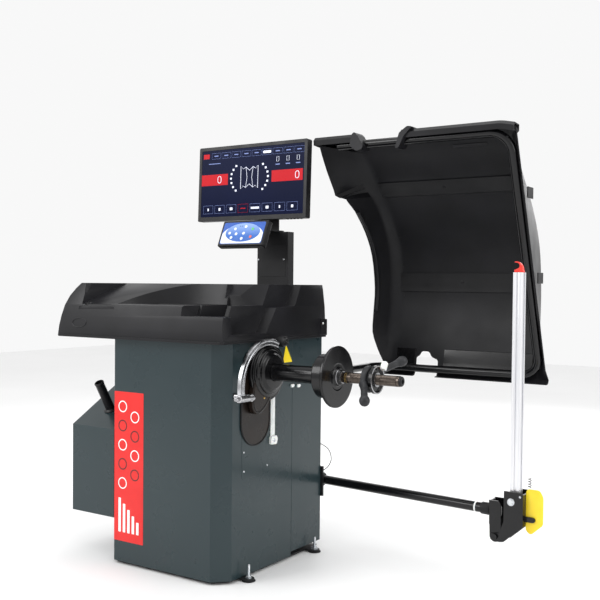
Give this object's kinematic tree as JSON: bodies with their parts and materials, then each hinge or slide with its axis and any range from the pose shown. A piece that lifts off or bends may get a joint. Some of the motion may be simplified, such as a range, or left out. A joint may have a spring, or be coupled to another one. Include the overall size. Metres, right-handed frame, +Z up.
{
  "type": "wheel balancer",
  "caption": "Car wheel balancer: cabinet with weight tray, threaded spindle with quick nut, swinging wheel guard, distance and width gauges, monitor on a post.",
  "frame": {"origin": "centre of the whole object's box at floor level, with the wheel guard up and every gauge at rest", "axes": "+X along the spindle, out of the cabinet towards the wheel; +Y to the back, towards the wheel guard's hinge; +Z up"},
  "size_m": [1.683, 1.071, 1.597],
  "materials": {
    "cabinet_paint": "gloss dark petrol-grey powder coat",
    "black_paint": "gloss black paint",
    "black_plastic": "satin textured black ABS",
    "black_rubber": "matt black rubber",
    "machined_steel": "ground and turned steel",
    "black_steel": "gloss black oxide on machined steel",
    "zinc_plate": "bright zinc plate",
    "cast_iron": "painted grey-black casting",
    "anodised_aluminium": "satin silver anodising",
    "white_plastic": "white moulded plastic",
    "nut_plastic": "matt black glass-filled plastic",
    "blue_membrane": "blue printed polyester film",
    "screen_glass": "dark glossy screen",
    "red_plastic": "red moulded plastic",
    "yellow_paint": "yellow paint"
  },
  "bodies": {
    "frame": {"base_plate": "black_paint", "foot_pad_fr": "black_rubber", "foot_pad_rr": "black_rubber", "foot_pad_l": "black_rubber", "anchor_stud_fr": "zinc_plate", "anchor_stud_rr": "zinc_plate", "anchor_stud_l": "zinc_plate", "cabinet_front": "cabinet_paint", "cabinet_rear": "cabinet_paint", "cabinet_top": "cabinet_paint", "side_box": "cabinet_paint", "cone_peg": "black_plastic", "weight_tray": "black_plastic", "side_cover": "black_plastic", "spindle_boss": "black_paint", "holder_strip": "white_plastic", "bearing_housing": "cast_iron", "bearing_front": "machined_steel", "bearing_rear": "machined_steel", "force_sensor_left": "machined_steel", "force_sensor_right": "machined_steel", "spindle_column": "black_paint", "motor": "anodised_aluminium", "drive_belt": "black_rubber", "electronics_box": "zinc_plate", "mains_inlet": "black_plastic", "monitor_post": "black_paint", "hood_hinge_block": "cast_iron", "gauge_mount": "black_paint", "gauge_cable": "black_rubber"},
    "spindle": {"spindle_shaft": "machined_steel", "hub_flange": "black_steel", "end_cap": "black_plastic", "spindle_pulley": "anodised_aluminium", "encoder_disc": "machined_steel"},
    "nut_carrier": {"nut_core": "machined_steel"},
    "nut": {"nut_body": "nut_plastic", "nut_cup": "black_paint"},
    "nut_tab": {"nut_release": "white_plastic"},
    "rotor": {"motor_rotor": "machined_steel"},
    "rocker": {"mains_rocker": "black_plastic"},
    "gauge_slide": {"gauge_rod": "zinc_plate"},
    "gauge_swing_arm": {"gauge_arm": "anodised_aluminium", "gauge_tip": "black_plastic"},
    "head": {"head_bracket": "black_paint", "keypad_housing": "black_plastic", "keypad_membrane": "blue_membrane"},
    "monitor": {"monitor_case": "black_plastic", "monitor_screen": "screen_glass"},
    "hood": {"hood_shaft": "black_steel", "hood_frame": "black_paint", "hood_cover": "black_plastic"},
    "width_tube": {"cross_tube": "black_paint", "gauge_link": "black_paint"},
    "width_column": {"column_bracket": "black_paint", "gauge_column": "anodised_aluminium", "column_bolt": "zinc_plate", "hook_tip": "red_plastic", "guard_plate": "yellow_paint", "return_spring": "black_steel"}
  },
  "joints": [
    {"name": "spindle_spin", "type": "hinge", "parent": "frame", "child": "spindle", "pos_m": [-0.064, -0.264, 0.7187], "axis": [1, 0, 0], "continuous": true},
    {"name": "nut_slide", "type": "slide", "parent": "spindle", "child": "nut_carrier", "axis": [1, 0, 0], "range_m": [-0.08, 0.06]},
    {"name": "nut_spin", "type": "hinge", "parent": "nut_carrier", "child": "nut", "pos_m": [0.376, -0.264, 0.7187], "axis": [1, 0, 0], "continuous": true},
    {"name": "nut_tab_press", "type": "slide", "parent": "nut", "child": "nut_tab", "axis": [0, -0.4695, -0.8829], "range_m": [0, 0.004], "stiffness_N_per_m": 600, "springref_m": -0.003},
    {"name": "motor_spin", "type": "hinge", "parent": "frame", "child": "rotor", "pos_m": [-0.514, -0.194, 0.2], "axis": [1, 0, 0], "continuous": true},
    {"name": "mains_switch", "type": "hinge", "parent": "frame", "child": "rocker", "pos_m": [-0.524, 0.127, 0.134], "axis": [1, 0, 0], "range_deg": [0, 14]},
    {"name": "gauge_pull", "type": "slide", "parent": "frame", "child": "gauge_slide", "axis": [1, 0, 0], "range_m": [0, 0.18], "stiffness_N_per_m": 25, "springref_m": -0.05},
    {"name": "gauge_swing", "type": "hinge", "parent": "gauge_slide", "child": "gauge_swing_arm", "pos_m": [-0.001, -0.428, 0.645], "axis": [1, 0, 0], "range_deg": [0, 60]},
    {"name": "head_swivel", "type": "hinge", "parent": "frame", "child": "head", "pos_m": [-0.304, 0.151, 1.24], "axis": [0, 0, 1], "range_deg": [-30, 5]},
    {"name": "monitor_tilt", "type": "hinge", "parent": "head", "child": "monitor", "pos_m": [-0.3635, 0.1375, 1.436], "axis": [1, 0, 0], "range_deg": [-15, 5]},
    {"name": "hood_swing", "type": "hinge", "parent": "frame", "child": "hood", "pos_m": [-0.134, 0.171, 0.69], "axis": [1, 0, 0], "range_deg": [0, 65]},
    {"name": "tube_turn", "type": "hinge", "parent": "frame", "child": "width_tube", "pos_m": [-0.149, 0.1658, 0.2585], "axis": [0.9958, -0.0911, 0], "range_deg": [0, 40], "stiffness_Nm_per_rad": 16, "springref_deg": -5.73},
    {"name": "column_swing", "type": "hinge", "parent": "width_tube", "child": "width_column", "pos_m": [0.684, 0.081, 0.177], "axis": [0, -1, 0], "range_deg": [0, 18], "stiffness_Nm_per_rad": 14, "springref_deg": -2.86}
  ],
  "couplings": [
    {"joint": "motor_spin", "follows": "spindle_spin", "ratio": 4}
  ]
}
